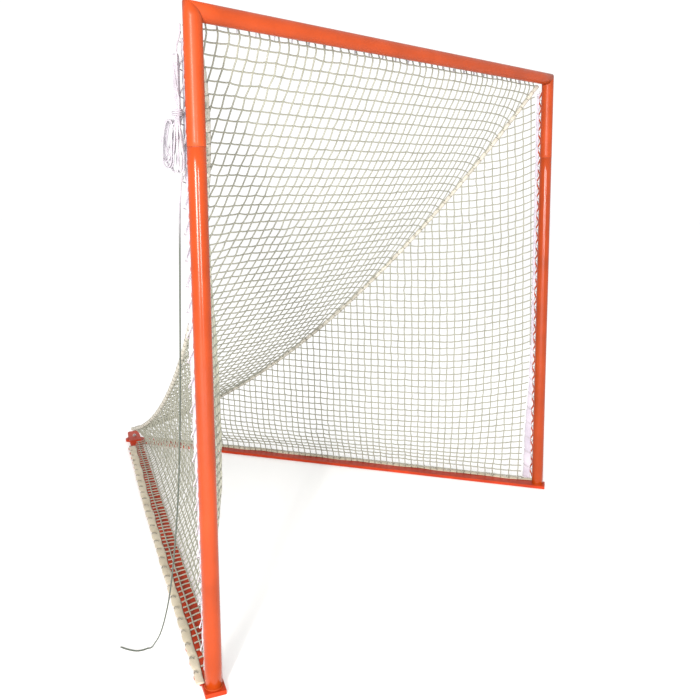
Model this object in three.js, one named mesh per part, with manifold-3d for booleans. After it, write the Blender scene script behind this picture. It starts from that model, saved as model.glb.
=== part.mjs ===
// A free-standing lacrosse goal: a square mouth of round tube on a V-shaped base of flat bar, and a
// laced-on net of three panels that meet at the rear apex. Millimetres, +Z up, +Y into the goal.
import * as THREE from "three";
import { mergeVertices } from "three/addons/utils/BufferGeometryUtils.js";
import Module from "manifold-3d";

const wasm = await Module();
wasm.setup();

// Driving dimensions
const MOUTH = 1829; // clear width and clear height of the mouth, 6 ft
const TUBE_OD = 50;
const TUBE_WALL = 3;
const GAP = 0.3; // between pieces that touch
const SPLIT_Z = 1515; // where the upper frame sits on the posts
const SLEEVE_LENGTH = 150;
const BAR_WIDTH = 60;
const BAR_THICK = 12.7;
const BAR_FRONT = 33; // bar ahead of the post axis
const APEX_Y = 1942; // where the two bar axes cross
const LEFT_BAR_PAST = 90; // bar past the crossing
const RIGHT_BAR_PAST = 45;
const JOGGLE_START = 100; // the left bar steps up over the right one before the crossing
const JOGGLE_END = 66;
const BOLT_D = 10;
const BOLT_HEAD_D = 20;
const BOLT_HEAD_DEPTH = 5;
const NUT_ACROSS = 17;
const NUT_HEIGHT = 8;
const ROD_D = 6.35;
const PITCH = 70; // of the rod's waves and of the lacing turns
const ROD_CREST = 40; // rod axis from the tube axis at a crest
const BASE_ROD_CREST = 44; // the same from the bar axis
const BASE_ROD_Z = 8;
const CORD_D = 4;
const TAPE_THICK = 2;
const BASE_WINDOW = 37; // where the base lacing passes between rod and bar, through a slot in the tape
const SLOT_LENGTH = 16;
const SLOT_WIDTH = 6;
const NET_THICK = 2.5;
// Edges of the base tape as [along, out] from the post axis and the bar axis
const BASE_TAPE_INNER = [[15, 25], [240, 23], [700, 26], [1400, 22], [1593, 15], [1951, 9], [2040, 7]];
const BASE_TAPE_OUTER = [[15, 46], [106, 46], [240, 48], [700, 52], [1200, 54], [1593, 51], [1745, 46], [2040, 43]];
const SEAM_D = 16;

const TUBE_R = TUBE_OD / 2;
const POST_X = MOUTH / 2 + TUBE_R;
const CROSSBAR_Z = MOUTH + TUBE_R;
const BAR_RUN = Math.hypot(POST_X, APEX_Y); // post axis to apex
const BAR_TURN = Math.atan2(POST_X, APEX_Y); // bar away from straight back
const POST_FOOT_Z = BAR_THICK + GAP;
const BAR_END_CORNER = 18;
const FRONT_Y = -BAR_FRONT * Math.cos(BAR_TURN) - (BAR_WIDTH / 2) * Math.sin(BAR_TURN);
const BACK_Y = APEX_Y + LEFT_BAR_PAST * Math.cos(BAR_TURN)
  + (BAR_WIDTH / 2 - BAR_END_CORNER) * Math.sin(BAR_TURN) + BAR_END_CORNER * (1 - Math.cos(BAR_TURN));
const CENTRE_Y = (FRONT_Y + BACK_Y) / 2; // the origin is under the middle of the frame

const orange = new THREE.MeshStandardMaterial({ color: 0xe8602c, roughness: 0.3, metalness: 0.1 });
const zinc = new THREE.MeshStandardMaterial({ color: 0xa9adb0, roughness: 0.4, metalness: 0.9 });
const twine = new THREE.MeshStandardMaterial({ color: 0xe4e3dc, roughness: 0.85, metalness: 0 });
const whiteTape = new THREE.MeshStandardMaterial({ color: 0xdcdae4, roughness: 0.8, metalness: 0 });
const creamTape = new THREE.MeshStandardMaterial({ color: 0xd9d2b8, roughness: 0.85, metalness: 0 });
const beigeRope = new THREE.MeshStandardMaterial({ color: 0xc9c0a0, roughness: 0.85, metalness: 0 });
const greyCord = new THREE.MeshStandardMaterial({ color: 0xc4c6c8, roughness: 0.8, metalness: 0 });

const goal = new THREE.Group();
goal.position.y = -CENTRE_Y;

function add(name, geometry, material) {
  const mesh = new THREE.Mesh(geometry, material);
  mesh.name = name;
  goal.add(mesh);
  return mesh;
}

function toSolid(geometry) {
  const bare = geometry.clone();
  bare.deleteAttribute("normal");
  bare.deleteAttribute("uv");
  const merged = mergeVertices(bare, 1e-4);
  return new wasm.Manifold(new wasm.Mesh({
    numProp: 3,
    vertProperties: new Float32Array(merged.attributes.position.array),
    triVerts: new Uint32Array(merged.index.array),
  }));
}

function toGeometry(solid) {
  const mesh = solid.getMesh();
  const geometry = new THREE.BufferGeometry();
  geometry.setAttribute("position", new THREE.BufferAttribute(mesh.vertProperties, 3));
  geometry.setIndex(new THREE.BufferAttribute(mesh.triVerts, 1));
  return geometry;
}

// A hollow tube along +Z from z = 0, open at both ends.
function hollowTube(outerRadius, wall, length, sides = 32) {
  const inner = outerRadius - wall;
  const profile = [
    new THREE.Vector2(outerRadius, 0),
    new THREE.Vector2(outerRadius, length),
    new THREE.Vector2(inner, length),
    new THREE.Vector2(inner, 0),
    new THREE.Vector2(outerRadius, 0),
  ];
  return new THREE.LatheGeometry(profile, sides).rotateX(Math.PI / 2);
}

// Slides the end vertices of a tube along its axis, so that the end lies on a plane across it.
function mitreEnd(geometry, atTop, slopeX) {
  const position = geometry.attributes.position;
  geometry.computeBoundingBox();
  const { min, max } = geometry.boundingBox;
  const end = atTop ? max.z : min.z;
  for (let i = 0; i < position.count; i++) {
    if (Math.abs(position.getZ(i) - end) < 1e-3) {
      position.setZ(i, end + slopeX * position.getX(i));
    }
  }
  return geometry;
}

// A path through points that are evenly spread in its parameter, for an extrusion with one
// section at each point.
class PointPath extends THREE.Curve {
  constructor(points) {
    super();
    this.points = points;
    this.arcLengthDivisions = points.length;
  }
  getPoint(t, target = new THREE.Vector3()) {
    const place = Math.min(Math.max(t, 0), 1) * (this.points.length - 1);
    const i = Math.min(Math.floor(place), this.points.length - 2);
    return target.lerpVectors(this.points[i], this.points[i + 1], place - i);
  }
  getUtoTmapping(u) {
    return u;
  }
}

function roundSection(radius, sides) {
  const shape = new THREE.Shape();
  for (let i = 0; i < sides; i++) {
    const angle = (2 * Math.PI * i) / sides;
    const x = radius * Math.cos(angle);
    const y = radius * Math.sin(angle);
    if (i === 0) shape.moveTo(x, y);
    else shape.lineTo(x, y);
  }
  shape.closePath();
  return shape;
}

function cordThrough(points, diameter, sides) {
  return new THREE.ExtrudeGeometry(roundSection(diameter / 2, sides), {
    steps: points.length - 1,
    bevelEnabled: false,
    extrudePath: new PointPath(points),
  });
}

// A frame member that carries lacing: `start` is on its axis, `along` runs down it, `out` is the
// side that the rod is welded to, and `face` is the side of the rod that the tape lies on.
const UP = new THREE.Vector3(0, 0, 1);

function baseMember(side) {
  const along = new THREE.Vector3(-side * Math.sin(BAR_TURN), Math.cos(BAR_TURN), 0);
  return {
    start: new THREE.Vector3(side * POST_X, 0, BASE_ROD_Z),
    along,
    out: new THREE.Vector3(side * along.y, -side * along.x, 0),
    face: UP,
  };
}

function postMember(side) {
  return {
    start: new THREE.Vector3(side * POST_X, 0, 0),
    along: UP,
    out: new THREE.Vector3(0, 1, 0),
    face: new THREE.Vector3(-side, 0, 0),
  };
}

const CROSSBAR_TILT = THREE.MathUtils.degToRad(5); // the rod sits just below the back of the crossbar
const crossbarMember = {
  start: new THREE.Vector3(0, 0, CROSSBAR_Z),
  along: new THREE.Vector3(1, 0, 0),
  out: new THREE.Vector3(0, Math.cos(CROSSBAR_TILT), -Math.sin(CROSSBAR_TILT)),
  face: new THREE.Vector3(0, -Math.sin(CROSSBAR_TILT), -Math.cos(CROSSBAR_TILT)),
};

function at(member, along, out, face = 0) {
  return member.start.clone()
    .addScaledVector(member.along, along)
    .addScaledVector(member.out, out)
    .addScaledVector(member.face, face);
}

// The lacing rod: a wave that touches the member at its troughs.
function lacingRod(member, from, waves, memberHalf, crest) {
  const trough = memberHalf + ROD_D / 2 + GAP;
  const stepsPerWave = 4;
  const points = [];
  for (let i = 0; i <= waves * stepsPerWave; i++) {
    const phase = (2 * Math.PI * i) / stepsPerWave;
    const out = trough + ((crest - trough) * (1 - Math.cos(phase))) / 2;
    points.push(at(member, from + (i * PITCH) / stepsPerWave, out));
  }
  return cordThrough(points, ROD_D, 5);
}

// Lacing: one turn at each crest of the rod, through the window under the crest and round the tape.
const TURN_HALF = 4; // of the short passes, along the member
const TURN_OVER = 20; // from the window to the tape's outer edge, along the member
function lacing(member, crests, inner, outerAt, under, over) {
  const points = [];
  for (const crest of crests) {
    const outer = outerAt(crest + TURN_OVER) + CORD_D / 2 + 0.6;
    points.push(at(member, crest - TURN_HALF, inner, under));
    points.push(at(member, crest + TURN_HALF, inner, over));
    points.push(at(member, crest + TURN_OVER - TURN_HALF, outer, over));
    points.push(at(member, crest + TURN_OVER + TURN_HALF, outer, under));
  }
  return cordThrough(points, CORD_D, 4);
}

// A flat tape with its two edges as [along, out] points.
function tape(member, inner, outer, clear) {
  const outline = new THREE.Shape([
    ...inner.map(([along, out]) => new THREE.Vector2(along, out)),
    ...outer.toReversed().map(([along, out]) => new THREE.Vector2(along, out)),
  ]);
  return laidOn(member, new THREE.ExtrudeGeometry(outline, { depth: TAPE_THICK, bevelEnabled: false }), clear);
}

// Moves a geometry drawn with X along, Y out and Z up from the tape's underside onto its member.
function laidOn(member, geometry, clear) {
  const basis = new THREE.Matrix4().makeBasis(member.along, member.out, member.face);
  basis.setPosition(at(member, 0, 0, clear));
  geometry.applyMatrix4(basis);
  if (basis.determinant() < 0) flip(geometry);
  return geometry;
}

// The same tape with a slot at each crest of the rod, for the lacing to pass through.
function slottedTape(member, inner, outer, clear, crests) {
  const solid = crests.reduce((left, along) => {
    const slot = new THREE.BoxGeometry(SLOT_LENGTH, SLOT_WIDTH, 3 * TAPE_THICK).toNonIndexed();
    slot.translate(along, BASE_WINDOW, TAPE_THICK / 2);
    return left.subtract(toSolid(laidOn(member, slot, clear)));
  }, toSolid(tape(member, inner, outer, clear)));
  return toGeometry(solid);
}

// The height of a line through [place, height] points at one place.
function lineAt(points, place) {
  const next = points.findIndex(([x]) => x >= place);
  if (next <= 0) return points[next === 0 ? 0 : points.length - 1][1];
  const [x0, y0] = points[next - 1];
  const [x1, y1] = points[next];
  return y0 + ((y1 - y0) * (place - x0)) / (x1 - x0);
}

// Turns the faces of a geometry without an index the other way round.
function flip(geometry) {
  const { array } = geometry.attributes.position;
  for (let i = 0; i < array.length; i += 9) {
    for (let k = 0; k < 3; k++) {
      [array[i + 3 + k], array[i + 6 + k]] = [array[i + 6 + k], array[i + 3 + k]];
    }
  }
}

// Frame
function post(side) {
  const length = SPLIT_Z - POST_FOOT_Z;
  return hollowTube(TUBE_R, TUBE_WALL, length).translate(side * POST_X, 0, POST_FOOT_Z);
}

function upperLeg(side) {
  const from = SPLIT_Z + GAP;
  const length = CROSSBAR_Z - GAP - from;
  const tube = hollowTube(TUBE_R, TUBE_WALL, length);
  mitreEnd(tube, true, side);
  return tube.translate(side * POST_X, 0, from);
}

function crossbar() {
  const tube = hollowTube(TUBE_R, TUBE_WALL, 2 * POST_X);
  mitreEnd(tube, false, 1);
  mitreEnd(tube, true, -1);
  return tube.rotateY(Math.PI / 2).translate(-POST_X, 0, CROSSBAR_Z);
}

function jointSleeve(side) {
  const outer = TUBE_R - TUBE_WALL - GAP;
  const tube = hollowTube(outer, TUBE_WALL, SLEEVE_LENGTH, 24);
  return tube.translate(side * POST_X, 0, SPLIT_Z - SLEEVE_LENGTH / 2);
}

function barPlan(past, cornerRadius) {
  const half = BAR_WIDTH / 2;
  const end = BAR_RUN + past;
  const r = cornerRadius;
  const plan = new THREE.Shape();
  plan.moveTo(-BAR_FRONT, -half);
  plan.lineTo(end - r, -half);
  plan.absarc(end - r, -half + r, r, -Math.PI / 2, 0, false);
  plan.absarc(end - r, half - r, r, 0, Math.PI / 2, false);
  plan.lineTo(-BAR_FRONT, half);
  plan.closePath();
  return plan;
}

function barSide(past, rise) {
  const up = BAR_RUN - JOGGLE_START;
  const over = BAR_RUN - JOGGLE_END;
  const end = BAR_RUN + past + 1;
  const front = -BAR_FRONT - 1;
  if (rise === 0) {
    return new THREE.Shape([
      new THREE.Vector2(front, 0),
      new THREE.Vector2(end, 0),
      new THREE.Vector2(end, BAR_THICK),
      new THREE.Vector2(front, BAR_THICK),
    ]);
  }
  return new THREE.Shape([
    new THREE.Vector2(front, 0),
    new THREE.Vector2(up, 0),
    new THREE.Vector2(over, rise),
    new THREE.Vector2(end, rise),
    new THREE.Vector2(end, rise + BAR_THICK),
    new THREE.Vector2(over, rise + BAR_THICK),
    new THREE.Vector2(up, BAR_THICK),
    new THREE.Vector2(front, BAR_THICK),
  ]);
}

// The apex bolt's outline from its axis, grown by `clear` for the hole that it passes through.
function boltCutter(clear) {
  const r = BOLT_D / 2 + clear;
  const head = BOLT_HEAD_D / 2 + clear;
  const profile = [
    new THREE.Vector2(0, -1),
    new THREE.Vector2(head, -1),
    new THREE.Vector2(head, 0),
    new THREE.Vector2(r, BOLT_HEAD_DEPTH),
    new THREE.Vector2(r, 60),
    new THREE.Vector2(0, 60),
  ];
  return new THREE.LatheGeometry(profile, 24).rotateX(Math.PI / 2);
}

// A base bar lying along +Y from the post axis, then turned in toward the apex.
function baseBar(side) {
  const left = side < 0;
  const past = left ? LEFT_BAR_PAST : RIGHT_BAR_PAST;
  const rise = left ? BAR_THICK + GAP : 0;
  const plan = new THREE.ExtrudeGeometry(barPlan(past, BAR_END_CORNER), {
    depth: 60, bevelEnabled: false, curveSegments: 8,
  }).translate(0, 0, -10);
  const profile = new THREE.ExtrudeGeometry(barSide(past, rise), {
    depth: 2 * BAR_WIDTH, bevelEnabled: false,
  }).rotateX(Math.PI / 2).translate(0, BAR_WIDTH, 0);
  const hole = boltCutter(0.5).translate(BAR_RUN, 0, 0);
  const solid = toSolid(plan).intersect(toSolid(profile)).subtract(toSolid(hole));
  return toGeometry(solid)
    .rotateZ(Math.PI / 2 + side * BAR_TURN)
    .translate(side * POST_X, 0, 0);
}

function apexBolt() {
  const r = BOLT_D / 2;
  const top = 2 * BAR_THICK + NUT_HEIGHT + 4;
  const profile = [
    new THREE.Vector2(0, GAP),
    new THREE.Vector2(BOLT_HEAD_D / 2, GAP),
    new THREE.Vector2(r, BOLT_HEAD_DEPTH + GAP),
    new THREE.Vector2(r, top - 1),
    new THREE.Vector2(r - 1, top),
    new THREE.Vector2(0, top),
  ];
  return new THREE.LatheGeometry(profile, 24).rotateX(Math.PI / 2).translate(0, APEX_Y, 0);
}

function apexNut() {
  const outline = roundSection(NUT_ACROSS / Math.sqrt(3), 6);
  const bore = new THREE.Path().absarc(0, 0, BOLT_D / 2 + GAP, 0, 2 * Math.PI, true);
  outline.holes.push(bore);
  return new THREE.ExtrudeGeometry(outline, { depth: NUT_HEIGHT, bevelEnabled: false, curveSegments: 12 })
    .translate(0, APEX_Y, 2 * (BAR_THICK + GAP));
}

// Net. The two seams hang from the top corners to the apex and are drawn inward.
const SEAM_START_Y = 40;
const SEAM_START_Z = 1839;
const SEAM_END_Y = 1975;
const SEAM_END_Z = 60;
const SEAM_SAG = 300;
const SEAM_IN = 127;
const SEAM_SAG_POWER = 0.956; // below 1, the deepest point is nearer the front
const SEAM_IN_POWER = 0.591;
const BELLY = 165; // of the side panels, inward
const BELLY_RISE = 6; // how fast the belly starts above the base
const BELLY_TOP = 0.23; // how much of it is gone at the seam

function arch(s, power) {
  const p = s ** power;
  return 4 * p * (1 - p);
}

function inward(side) {
  return new THREE.Vector3(-side * Math.cos(BAR_TURN), -Math.sin(BAR_TURN), 0);
}

function seamPoint(side, s) {
  const point = new THREE.Vector3(
    side * POST_X * (1 - s),
    SEAM_START_Y + (SEAM_END_Y - SEAM_START_Y) * s,
    SEAM_START_Z + (SEAM_END_Z - SEAM_START_Z) * s - SEAM_SAG * arch(s, SEAM_SAG_POWER),
  );
  return point.addScaledVector(inward(side), SEAM_IN * arch(s, SEAM_IN_POWER));
}

// A closed sheet of even thickness over surface(u, v), with u and v from 0 to 1: a front and a back
// grid with the same diagonals, joined round the border.
function sheet(surface, across, along, thick) {
  const grid = new THREE.PlaneGeometry(1, 1, across, along);
  const count = grid.attributes.position.count;
  const vertices = new Float32Array(2 * count * 3);
  const step = 1e-3;
  for (let i = 0; i < count; i++) {
    const u = grid.attributes.position.getX(i) + 0.5;
    const v = grid.attributes.position.getY(i) + 0.5;
    const du = surface(u + step, v).sub(surface(u - step, v));
    const dv = surface(u, v + step).sub(surface(u, v - step));
    const half = du.cross(dv).normalize().multiplyScalar(thick / 2);
    const middle = surface(u, v);
    middle.clone().add(half).toArray(vertices, 3 * i);
    middle.clone().sub(half).toArray(vertices, 3 * (i + count));
  }
  const faces = Array.from(grid.index.array);
  for (let i = 0; i < grid.index.count; i += 3) {
    const [a, b, c] = grid.index.array.slice(i, i + 3);
    faces.push(a + count, c + count, b + count);
  }
  const border = borderOf(across, along);
  border.forEach((a, i) => {
    const b = border[(i + 1) % border.length];
    faces.push(a, b, b + count, a, b + count, a + count);
  });
  const geometry = new THREE.BufferGeometry();
  geometry.setAttribute("position", new THREE.BufferAttribute(vertices, 3));
  geometry.setIndex(faces);
  return geometry;
}

// The border vertices of a plane grid, whose rows run from the top down.
function borderOf(across, along) {
  const at = (column, row) => row * (across + 1) + column;
  const border = [];
  for (let i = 0; i < across; i++) border.push(at(i, 0));
  for (let i = 0; i < along; i++) border.push(at(across, i));
  for (let i = across; i > 0; i--) border.push(at(i, along));
  for (let i = along; i > 0; i--) border.push(at(0, i));
  return border;
}

const SEAM_CLEAR = SEAM_D / 2 + 6; // panel edge to seam axis
const TOP_FROM = 0.014; // seam fractions that the top panel covers
const TOP_TO = 0.955;
const TOP_DIP = 0.03; // a row's sag as a share of its width
const TOP_DIP_GROWS = 5; // the dip is full a fifth of the way down

function topSurface(u, v) {
  const s = TOP_FROM + (TOP_TO - TOP_FROM) * v;
  const left = seamPoint(-1, s);
  const right = seamPoint(1, s);
  const width = right.x - left.x;
  const edge = SEAM_CLEAR / width;
  const x = edge + (1 - 2 * edge) * u;
  const point = left.lerp(right, x);
  const dip = TOP_DIP * Math.min(1, TOP_DIP_GROWS * Math.max(v, 0));
  point.z -= 4 * dip * width * x * (1 - x);
  return point;
}

const NET_FRONT_Y = 82; // behind the post lacing
const NET_BASE_Z = 19;
const NET_BASE_IN = 5; // from the base tape's inner edge
const SIDE_TO = 0.945;

function sideSurface(side, u, v) {
  const base = baseMember(side);
  const baseFrom = NET_FRONT_Y / APEX_Y;
  const run = BAR_RUN * (baseFrom + (SIDE_TO - baseFrom) * u);
  const bottom = at(base, run, lineAt(BASE_TAPE_INNER, run) - NET_BASE_IN).setZ(NET_BASE_Z);
  const s = 0.03 + (SIDE_TO - 0.03) * u;
  const top = seamPoint(side, s);
  top.addScaledVector(inward(side), -SEAM_IN * arch(s, SEAM_IN_POWER));
  top.z -= SEAM_CLEAR + 4;
  const belly = BELLY * arch(Math.min(s, 1), SEAM_IN_POWER);
  const share = (1 - (1 - v) ** BELLY_RISE) * (1 - BELLY_TOP * v * v);
  const open = Math.min(1, Math.max(u, 0) * 8); // none of it where the panel is tied to the post
  return bottom.lerp(top, v).addScaledVector(inward(side), belly * share * open);
}

function seamRope(side) {
  const points = [];
  const steps = 28;
  for (let i = 0; i <= steps; i++) {
    points.push(seamPoint(side, 0.013 + (0.975 - 0.013) * (i / steps)));
  }
  return cordThrough(points, SEAM_D, 6);
}

// Drawcord, hanging outside the left post: a lead, a tied hank and a tail that reaches the floor.
const DRAWCORD_D = 4.5;
const CORD_GAP = 1; // between the hank and the cord above and below it
const HANK_X = -964;
const HANK_Y = 46;
const HANK_TOP = 1756;
const HANK_NECK = 1588;
const HANK_BOTTOM = 1440;
const HANK_THICK = 20;
const HANK_LEAN = new THREE.Vector3(-0.6, 0.8, 0); // the way the hank spreads

function hankOutline() {
  const shape = new THREE.Shape();
  shape.moveTo(-7, HANK_NECK);
  shape.lineTo(-7, HANK_TOP - 6);
  shape.quadraticCurveTo(-7, HANK_TOP, 0, HANK_TOP);
  shape.quadraticCurveTo(8, HANK_TOP, 8, HANK_TOP - 6);
  shape.lineTo(11, HANK_NECK);
  shape.bezierCurveTo(26, HANK_NECK - 20, 48, HANK_NECK - 60, 46, HANK_BOTTOM + 40);
  shape.bezierCurveTo(45, HANK_BOTTOM + 8, 30, HANK_BOTTOM, 12, HANK_BOTTOM);
  shape.lineTo(-4, HANK_BOTTOM);
  shape.bezierCurveTo(-12, HANK_BOTTOM + 30, -12, HANK_NECK - 50, -7, HANK_NECK);
  return shape;
}

function cordHank() {
  const geometry = new THREE.ExtrudeGeometry(hankOutline(), {
    depth: HANK_THICK, bevelEnabled: false, curveSegments: 5,
  }).translate(0, 0, -HANK_THICK / 2);
  const across = new THREE.Vector3().crossVectors(HANK_LEAN, UP);
  const basis = new THREE.Matrix4().makeBasis(HANK_LEAN, UP, across);
  basis.setPosition(HANK_X, HANK_Y, 0);
  return geometry.applyMatrix4(basis);
}

function spline(points, steps) {
  return new THREE.CatmullRomCurve3(points, false, "centripetal").getSpacedPoints(steps);
}

function cordLead() {
  const points = [
    new THREE.Vector3(-954, 35, 1826),
    new THREE.Vector3(-955, 37, 1800),
    new THREE.Vector3(HANK_X, HANK_Y, HANK_TOP + CORD_GAP),
  ];
  return cordThrough(spline(points, 8), DRAWCORD_D, 8);
}

const FLOOR_Z = DRAWCORD_D / 2 + 0.2; // cord axis where it lies on the floor

function cordTail() {
  const points = [
    new THREE.Vector3(HANK_X, HANK_Y, HANK_BOTTOM - CORD_GAP),
    new THREE.Vector3(-961, 50, 1380),
    new THREE.Vector3(-962, 63, 1150),
    new THREE.Vector3(-962, 78, 885),
    new THREE.Vector3(-962, 102, 598),
    new THREE.Vector3(-962, 143, 344),
    new THREE.Vector3(-962, 182, 190),
    new THREE.Vector3(-962, 228, 80),
    new THREE.Vector3(-962, 262, 32),
    new THREE.Vector3(-961, 286, FLOOR_Z + 3),
    new THREE.Vector3(-966, 294, FLOOR_Z),
    new THREE.Vector3(-980, 298, FLOOR_Z),
    new THREE.Vector3(-996, 308, FLOOR_Z),
    new THREE.Vector3(-1010, 332, FLOOR_Z),
    new THREE.Vector3(-1021, 363, FLOOR_Z),
  ];
  return cordThrough(spline(points, 70), DRAWCORD_D, 8);
}

// Assembly
const POST_ROD_FROM = 40;
const POST_WAVES = 21;
const LEG_ROD_FROM = 1520;
const LEG_WAVES = 4;
const CROSSBAR_WAVES = 25;
const BASE_ROD_FROM = 20;
const BASE_WAVES = 29;
const POST_TAPE_INNER = 36;
const LEFT_POST_TAPE_OUTER = [[30, 52], [400, 55], [950, 67], [1500, 61], [1800, 59]];
const RIGHT_POST_TAPE_OUTER = [[30, 72], [250, 70], [500, 56], [1800, 54]];
const CROSSBAR_TAPE_INNER = 37;
const CROSSBAR_TAPE_OUTER = 60;
const TAPE_CLEAR = ROD_D / 2 + 0.5;
const BASE_TAPE_CLEAR = BAR_THICK - BASE_ROD_Z + 0.5;
const WINDOW = 31; // where the lacing passes between rod and tube

function level(from, to, out) {
  return [[from, out], [to, out]];
}

function crestsOf(from, waves) {
  return Array.from({ length: waves }, (_, i) => from + PITCH * (i + 0.5));
}

add("crossbar_tube", crossbar(), orange);
for (const [name, side] of [["left", -1], ["right", 1]]) {
  add(`${name}_upper_leg`, upperLeg(side), orange);
  add(`${name}_post`, post(side), orange);
  add(`${name}_joint_sleeve`, jointSleeve(side), zinc);
  add(`${name}_base_bar`, baseBar(side), orange);

  const member = postMember(side);
  const base = baseMember(side);
  add(`${name}_post_rod`, lacingRod(member, POST_ROD_FROM, POST_WAVES, TUBE_R, ROD_CREST), orange);
  add(`${name}_leg_rod`, lacingRod(member, LEG_ROD_FROM, LEG_WAVES, TUBE_R, ROD_CREST), orange);
  add(`${name}_base_rod`, lacingRod(base, BASE_ROD_FROM, BASE_WAVES, BAR_WIDTH / 2, BASE_ROD_CREST), orange);

  const postOuter = side < 0 ? LEFT_POST_TAPE_OUTER : RIGHT_POST_TAPE_OUTER;
  const postTape = tape(member, level(30, 1800, POST_TAPE_INNER), postOuter, TAPE_CLEAR);
  add(`${name}_post_tape`, postTape, whiteTape);
  const baseCrests = crestsOf(BASE_ROD_FROM, BASE_WAVES);
  const baseTape = slottedTape(base, BASE_TAPE_INNER, BASE_TAPE_OUTER, BASE_TAPE_CLEAR, baseCrests);
  add(`${name}_base_tape`, baseTape, creamTape);

  const postCrests = [...crestsOf(POST_ROD_FROM, POST_WAVES), ...crestsOf(LEG_ROD_FROM, LEG_WAVES)];
  const postOver = TAPE_CLEAR + TAPE_THICK + CORD_D / 2 + 0.3;
  add(`${name}_post_lacing`,
    lacing(member, postCrests, WINDOW, (along) => lineAt(postOuter, along), -6, postOver), greyCord);
  const baseOuter = (along) => lineAt(BASE_TAPE_OUTER, along);
  const baseOver = BASE_TAPE_CLEAR + TAPE_THICK + CORD_D / 2 + 0.3;
  const baseUnder = CORD_D / 2 + 0.2 - BASE_ROD_Z;
  add(`${name}_base_lacing`,
    lacing(base, baseCrests, BASE_WINDOW, baseOuter, baseUnder, baseOver), greyCord);

  add(`${name}_net_panel`, sheet((u, v) => sideSurface(side, u, v), 14, 12, NET_THICK), twine);
  add(`${name}_seam_rope`, seamRope(side), beigeRope);
}

const crossbarHalf = (CROSSBAR_WAVES * PITCH) / 2;
add("crossbar_rod", lacingRod(crossbarMember, -crossbarHalf, CROSSBAR_WAVES, TUBE_R, ROD_CREST), orange);
add("crossbar_tape", tape(crossbarMember, level(-crossbarHalf, crossbarHalf, CROSSBAR_TAPE_INNER),
  level(-crossbarHalf, crossbarHalf, CROSSBAR_TAPE_OUTER), TAPE_CLEAR), whiteTape);
add("crossbar_lacing", lacing(crossbarMember, crestsOf(-crossbarHalf, CROSSBAR_WAVES - 1), WINDOW,
  () => CROSSBAR_TAPE_OUTER, -6, TAPE_CLEAR + TAPE_THICK + CORD_D / 2 + 0.3), greyCord);
add("top_net_panel", sheet(topSurface, 10, 16, NET_THICK), twine);

add("apex_bolt", apexBolt(), zinc);
add("apex_nut", apexNut(), zinc);
add("drawcord_lead", cordLead(), greyCord);
add("drawcord_hank", cordHank(), greyCord);
add("drawcord_tail", cordTail(), greyCord);

export default goal;
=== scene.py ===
"""Visual model of a lacrosse goal: glossy orange tube frame, knotted net, laced hems and a drawcord."""
import math

import bmesh
import bpy
import numpy as np
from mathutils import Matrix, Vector


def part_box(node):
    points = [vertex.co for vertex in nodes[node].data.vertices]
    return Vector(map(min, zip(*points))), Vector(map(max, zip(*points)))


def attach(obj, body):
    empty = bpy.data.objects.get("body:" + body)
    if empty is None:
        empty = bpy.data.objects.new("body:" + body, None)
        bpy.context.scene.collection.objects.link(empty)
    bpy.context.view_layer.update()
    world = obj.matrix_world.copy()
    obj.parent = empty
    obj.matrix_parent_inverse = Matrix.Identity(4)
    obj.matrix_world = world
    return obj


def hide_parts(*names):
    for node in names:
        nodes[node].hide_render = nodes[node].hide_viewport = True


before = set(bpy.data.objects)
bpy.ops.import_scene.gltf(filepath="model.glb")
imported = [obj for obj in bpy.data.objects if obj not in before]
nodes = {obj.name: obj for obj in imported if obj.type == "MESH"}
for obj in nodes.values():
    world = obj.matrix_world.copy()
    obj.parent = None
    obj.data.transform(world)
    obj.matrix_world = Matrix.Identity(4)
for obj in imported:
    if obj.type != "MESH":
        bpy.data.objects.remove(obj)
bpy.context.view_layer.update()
rng = np.random.default_rng(7)

# Driving dimensions, in metres. The frame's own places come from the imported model.
post_low, post_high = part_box("right_post")
TUBE_R = (post_high.x - post_low.x) / 2
POST_X = (post_high.x + post_low.x) / 2
GOAL_Y = (post_high.y + post_low.y) / 2
SPLIT_Z = post_high.z
CROSSBAR_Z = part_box("crossbar_tube")[1].z - TUBE_R
APEX_Y = 1.942
BAR_TURN = math.atan2(POST_X, APEX_Y)
BAR_RUN = math.hypot(POST_X, APEX_Y)
BAR_WIDTH = 0.060
BAR_THICK = 0.0127
TUBE_WALL = 0.003
PITCH = 0.070  # of the lacing rods' waves and of the lacing's turns
ROD_R = 0.0032
LACING_D = 0.004
DRAWCORD_D = 0.0045
TWINE_R = 0.0026

SIDES = (("left", -1), ("right", 1))


# Mesh building

def new_object(name, verts, faces, uvs=None):
    mesh = bpy.data.meshes.new(name)
    mesh.from_pydata([tuple(v) for v in verts], [], [tuple(f) for f in faces])
    if uvs is not None:
        layer = mesh.uv_layers.new(name="UVMap")
        loops = np.empty(len(mesh.loops), dtype=np.int64)
        mesh.loops.foreach_get("vertex_index", loops)
        layer.data.foreach_set("uv", np.asarray(uvs, dtype=np.float32)[loops].ravel())
    mesh.polygons.foreach_set("use_smooth", [True] * len(mesh.polygons))
    mesh.update()
    piece = bpy.data.objects.new(name, mesh)
    bpy.context.scene.collection.objects.link(piece)
    return piece


def ring_frames(path):
    """Two vectors across the path at each point, which turn as little as possible along it."""
    tangent = np.gradient(path, axis=0)
    tangent /= np.maximum(np.linalg.norm(tangent, axis=1), 1e-12)[:, None]
    first = np.cross(tangent[0], (0.31, 0.17, 0.93))
    if np.linalg.norm(first) < 0.2:
        first = np.cross(tangent[0], (1.0, 0.0, 0.0))
    sides = np.empty_like(path)
    current = first / np.linalg.norm(first)
    for i, t in enumerate(tangent):
        current = current - t * np.dot(current, t)
        current /= max(np.linalg.norm(current), 1e-12)
        sides[i] = current
    return sides, np.cross(tangent, sides)


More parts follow.
